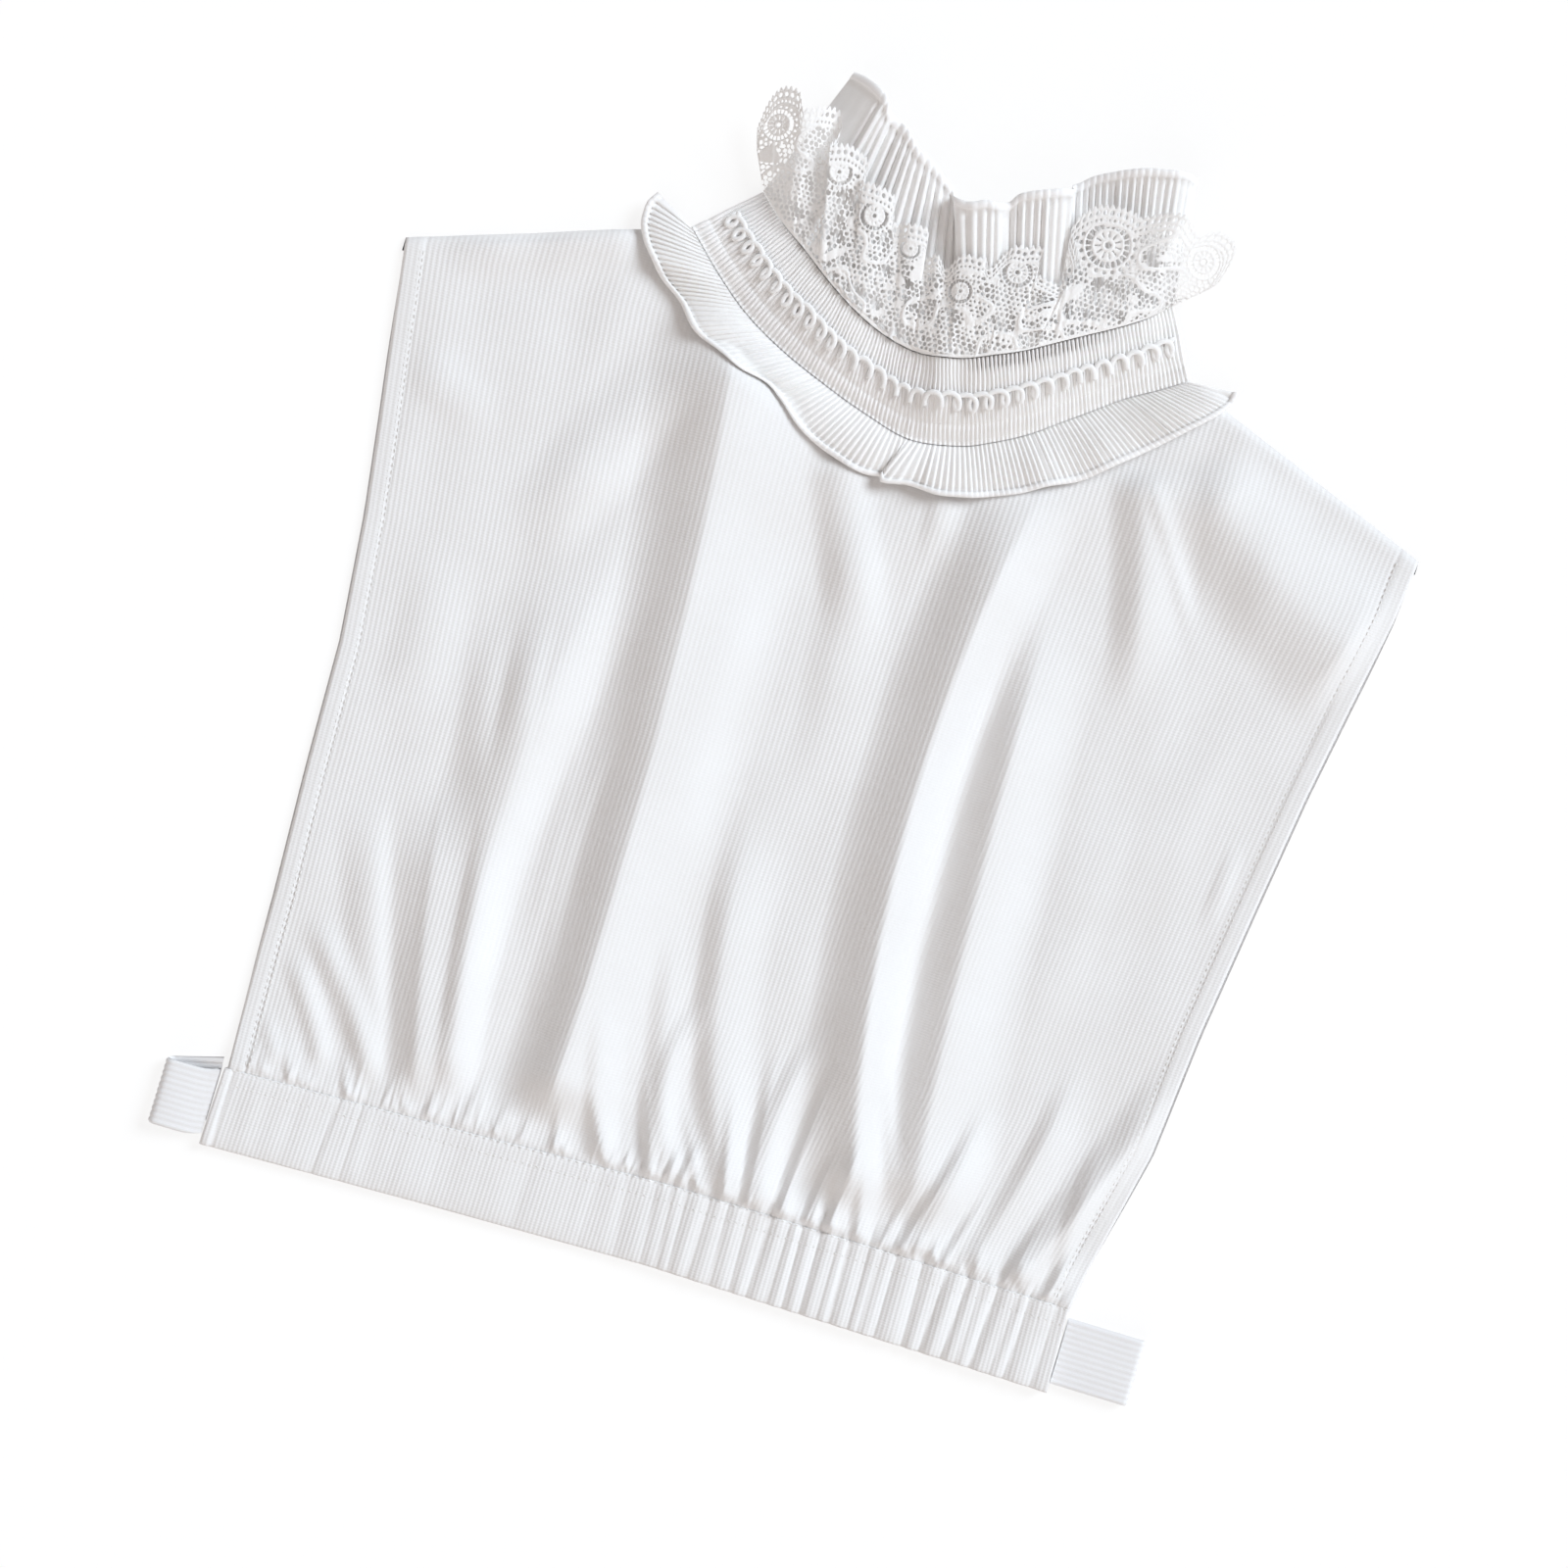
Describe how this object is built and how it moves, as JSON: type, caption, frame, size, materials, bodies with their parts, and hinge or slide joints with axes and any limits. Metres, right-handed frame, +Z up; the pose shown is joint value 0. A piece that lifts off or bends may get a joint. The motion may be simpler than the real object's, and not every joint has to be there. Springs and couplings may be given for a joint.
{
  "type": "frilled stand-collar dickey",
  "caption": "White sleeveless false blouse laid flat: ribbed front and back with soft folds, elastic waist casing, pleated stand collar with lace, braid and ruffles.",
  "frame": {"origin": "middle of the laid-out garment's outline in plan, on the surface it lies on", "axes": "+X to the right as the front is looked at, +Y up the front to the collar, +Z up off the surface"},
  "size_m": [0.3944, 0.4492, 0.0292],
  "materials": {
    "rib_cloth": "white cotton-blend cloth with fine ribs along the front, matt with a faint sheen",
    "pleated_cloth": "white thin cotton blend in pressed knife pleats, matt",
    "lace": "white cotton bobbin-style lace, matt",
    "braid": "white looped soft cord, matt",
    "elastic": "white woven elastic with lengthwise ribs, slightly satin"
  },
  "bodies": {
    "root": {"front_panel": "rib_cloth", "back_panel": "rib_cloth", "front_casing": "rib_cloth", "back_casing": "rib_cloth", "elastic_left": "elastic", "elastic_right": "elastic", "stand_front": "pleated_cloth", "stand_back": "pleated_cloth", "lower_ruffle_front": "pleated_cloth", "lower_ruffle_back": "pleated_cloth", "top_ruffle_front": "pleated_cloth", "top_ruffle_back": "pleated_cloth", "lace_front": "lace", "lace_back": "lace", "trim_front": "braid", "trim_back": "braid"}
  },
  "joints": []
}
